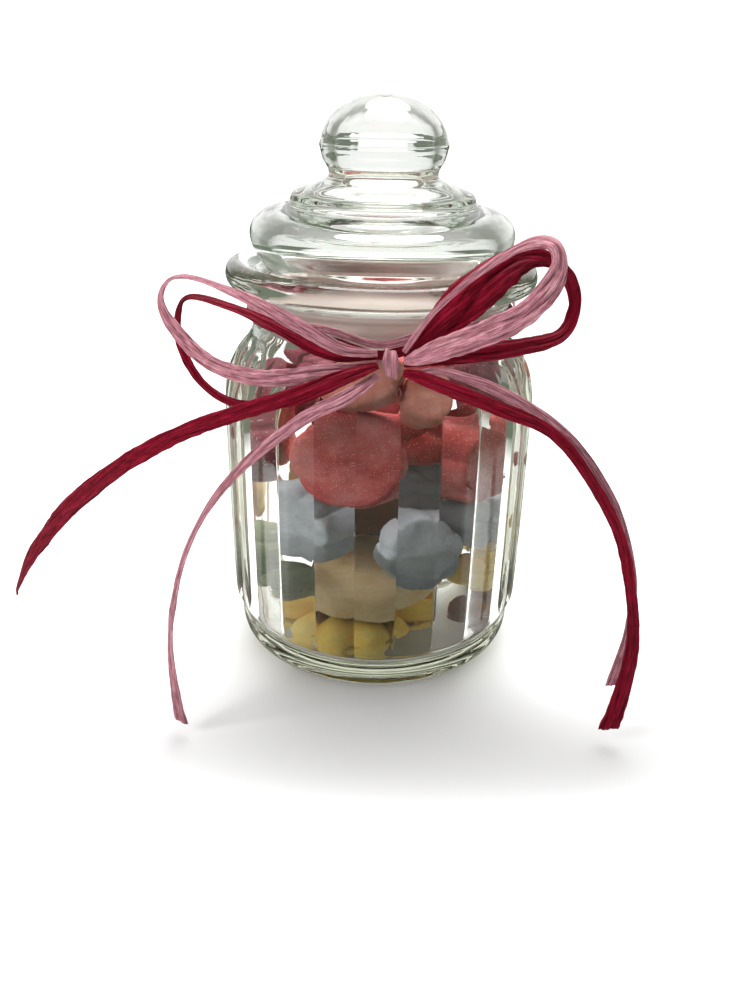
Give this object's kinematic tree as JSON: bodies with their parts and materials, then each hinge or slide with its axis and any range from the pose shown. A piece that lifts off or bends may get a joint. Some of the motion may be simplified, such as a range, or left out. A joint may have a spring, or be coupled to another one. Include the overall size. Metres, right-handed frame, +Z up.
{
  "type": "jar of moulded sweets",
  "caption": "Small pressed-glass sweet jar with a domed glass lid, filled with flower-shaped moulded sugar sweets and tied with a raffia bow",
  "frame": {"origin": "middle of the base ring, on the surface the jar stands on", "axes": "+Z up along the jar, the raffia knot at the front on -Y, +X to the right seen from the front"},
  "size_m": [0.1512, 0.0891, 0.1303],
  "materials": {
    "jar_glass": "clear pressed glass, polished, faintly green at the edges",
    "seal_plastic": "translucent whitish, satin",
    "raffia_pink": "crumpled paper raffia, matt with a slight sheen",
    "raffia_crimson": "crumpled paper raffia, matt with a slight sheen",
    "sweet_rose": "sugary, waxy, fine glitter",
    "sweet_peach": "sugary, waxy",
    "sweet_mauve": "sugary, waxy",
    "sweet_blue": "sugary, waxy, fine glitter",
    "sweet_cream": "sugary, waxy",
    "sweet_yellow": "sugary, waxy",
    "sweet_green": "sugary, waxy",
    "sweet_amber": "sugary, waxy"
  },
  "bodies": {
    "root": {"jar": "jar_glass", "lid": "jar_glass", "neck_wrap_crimson": "raffia_crimson", "neck_wrap_pink": "raffia_pink", "raffia_crimson_left_loop": "raffia_crimson", "raffia_crimson_left_tail": "raffia_crimson", "raffia_crimson_right_loop": "raffia_crimson", "raffia_crimson_right_tail": "raffia_crimson", "raffia_knot": "raffia_pink", "raffia_pink_left_loop": "raffia_pink", "raffia_pink_left_tail": "raffia_pink", "raffia_pink_right_loop": "raffia_pink", "raffia_pink_right_tail": "raffia_pink", "seal": "seal_plastic", "sweet_amber_core": "sweet_amber", "sweet_amber_inner": "sweet_amber", "sweet_amber_side": "sweet_amber", "sweet_blue_back": "sweet_blue", "sweet_blue_front": "sweet_blue", "sweet_blue_inner": "sweet_blue", "sweet_blue_left": "sweet_blue", "sweet_blue_right": "sweet_blue", "sweet_cream_front": "sweet_cream", "sweet_cream_inner": "sweet_cream", "sweet_cream_left": "sweet_cream", "sweet_cream_side": "sweet_cream", "sweet_green_inner": "sweet_green", "sweet_green_left": "sweet_green", "sweet_green_low": "sweet_green", "sweet_mauve_back": "sweet_mauve", "sweet_mauve_core": "sweet_mauve", "sweet_mauve_left": "sweet_mauve", "sweet_mauve_rear": "sweet_mauve", "sweet_mauve_right": "sweet_mauve", "sweet_mauve_side": "sweet_mauve", "sweet_mauve_top": "sweet_mauve", "sweet_peach_back": "sweet_peach", "sweet_peach_inner": "sweet_peach", "sweet_peach_left": "sweet_peach", "sweet_peach_right": "sweet_peach", "sweet_peach_side": "sweet_peach", "sweet_pink_big": "sweet_rose", "sweet_rose_back": "sweet_rose", "sweet_rose_core": "sweet_rose", "sweet_rose_high": "sweet_rose", "sweet_rose_inner": "sweet_rose", "sweet_rose_rear": "sweet_rose", "sweet_rose_right": "sweet_rose", "sweet_rose_side": "sweet_rose", "sweet_rose_top": "sweet_rose", "sweet_yellow_back": "sweet_yellow", "sweet_yellow_daisy": "sweet_yellow", "sweet_yellow_right": "sweet_yellow"}
  },
  "joints": []
}
